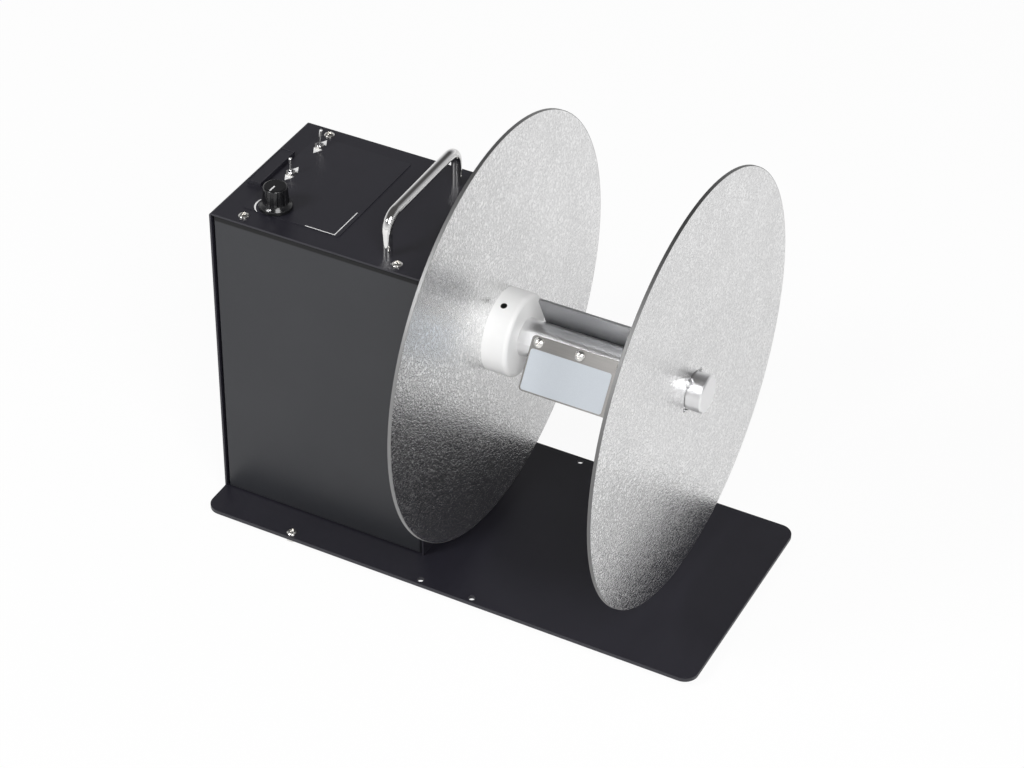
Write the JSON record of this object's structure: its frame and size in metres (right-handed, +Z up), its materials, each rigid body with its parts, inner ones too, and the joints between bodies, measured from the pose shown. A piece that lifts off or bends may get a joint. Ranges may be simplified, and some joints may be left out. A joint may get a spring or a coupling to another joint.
{
  "type": "label rewinder",
  "caption": "Motor-driven label rewinder: black drive housing on a base plate, and a spindle with a core holder between large embossed flanges, the outer one sliding off.",
  "frame": {"origin": "on the floor, under the middle of the base plate, in the spindle's vertical plane", "axes": "+X along the spindle to its free end, +Y from the front to the back, +Z up"},
  "size_m": [0.41, 0.328, 0.353],
  "materials": {
    "powder_black": "satin black powder coat",
    "panel_black": "satin black powder coat",
    "embossed_aluminium": "bright sheet with a fine leather-grain emboss",
    "white_plastic": "turned white acetal",
    "bright_steel": "turned bright",
    "fin_steel": "spring steel, brushed",
    "screw_steel": "zinc plated",
    "dark_steel": "black oxide",
    "chrome": "polished",
    "black_plastic": "semi-gloss",
    "overlay_black": "satin film",
    "rubber": "matt",
    "frame_steel": "mill finish",
    "housing_aluminium": "turned",
    "bearing_steel": "ground",
    "brass": "turned",
    "gear_nylon": "natural nylon",
    "motor_black": "satin",
    "switch_metal": "nickel plated",
    "board_green": "solder mask",
    "component_plastic": "mixed small components",
    "wire_insulation": "soft insulation"
  },
  "bodies": {
    "base": {"base_plate": "powder_black", "rubber_feet": "rubber", "edge_screws": "screw_steel", "edge_nuts": "screw_steel", "housing_cover": "powder_black", "front_panel": "panel_black", "rear_panel": "panel_black", "cover_screws": "screw_steel", "panel_screws": "screw_steel", "carry_handle": "chrome", "handle_screws": "screw_steel", "control_overlay": "overlay_black", "name_plate": "overlay_black", "bearing_frame": "frame_steel", "frame_screws": "screw_steel", "left_bearing_housing": "housing_aluminium", "right_bearing_housing": "housing_aluminium", "housing_bolts": "dark_steel", "bearing_outer_rings": "bearing_steel", "drive_motor": "motor_black", "motor_gearbox": "housing_aluminium", "motor_bolts": "dark_steel", "potentiometer": "switch_metal", "direction_switch": "switch_metal", "torque_switch": "switch_metal", "control_nuts": "screw_steel", "circuit_board": "board_green", "board_components": "component_plastic", "board_standoffs": "brass", "power_inlet": "black_plastic", "power_wires": "wire_insulation", "control_wires": "wire_insulation"},
    "spindle": {"spindle_shaft": "bright_steel", "spindle_gear": "gear_nylon", "gear_key": "bearing_steel", "gear_spacer": "bearing_steel", "gear_end_screw": "screw_steel", "retaining_rings": "dark_steel", "bearing_inner_rings": "bearing_steel", "inner_flange": "embossed_aluminium", "flange_collar": "white_plastic", "flange_screws": "screw_steel", "collar_set_screw": "dark_steel", "core_fin_1": "fin_steel", "core_fin_2": "fin_steel", "core_fin_3": "fin_steel", "fin_screws": "screw_steel", "ball_plunger": "dark_steel"},
    "outer_flange": {"outer_flange": "embossed_aluminium"},
    "lock_ball": {"lock_ball": "bright_steel"},
    "motor_rotor": {"motor_shaft": "bearing_steel", "drive_pinion": "brass"},
    "ball_cages": {"bearing_balls": "bearing_steel", "bearing_cages": "brass"},
    "knob": {"torque_knob": "black_plastic", "knob_set_screw": "dark_steel", "pot_shaft": "bearing_steel"},
    "direction_lever": {"direction_lever": "chrome"},
    "torque_lever": {"torque_lever": "chrome"}
  },
  "joints": [
    {"name": "spindle_spin", "type": "hinge", "parent": "base", "child": "spindle", "pos_m": [0, 0, 0.189], "axis": [1, 0, 0], "continuous": true},
    {"name": "motor_spin", "type": "hinge", "parent": "base", "child": "motor_rotor", "pos_m": [-0.1963, 0, 0.1155], "axis": [1, 0, 0], "continuous": true},
    {"name": "cage_spin", "type": "hinge", "parent": "base", "child": "ball_cages", "pos_m": [0, 0, 0.189], "axis": [1, 0, 0], "continuous": true},
    {"name": "outer_flange_slide", "type": "slide", "parent": "spindle", "child": "outer_flange", "axis": [1, 0, 0], "range_m": [0, 0.06]},
    {"name": "lock_ball_press", "type": "slide", "parent": "spindle", "child": "lock_ball", "axis": [0, -0.5878, 0.809], "range_m": [-0.0022, 0], "stiffness_N_per_m": 800, "springref_m": 0.0015},
    {"name": "knob_turn", "type": "hinge", "parent": "base", "child": "knob", "pos_m": [-0.1659, -0.03745, 0.2634], "axis": [0, 0, -1], "range_deg": [-60, 240]},
    {"name": "direction_throw", "type": "hinge", "parent": "base", "child": "direction_lever", "pos_m": [-0.1786, 0.00435, 0.2643], "axis": [1, 0, 0], "range_deg": [-13, 13]},
    {"name": "torque_throw", "type": "hinge", "parent": "base", "child": "torque_lever", "pos_m": [-0.1786, 0.04555, 0.2643], "axis": [1, 0, 0], "range_deg": [0, 26]}
  ],
  "couplings": [
    {"joint": "motor_spin", "follows": "spindle_spin", "ratio": -3.2},
    {"joint": "cage_spin", "follows": "spindle_spin", "ratio": 0.4031}
  ]
}
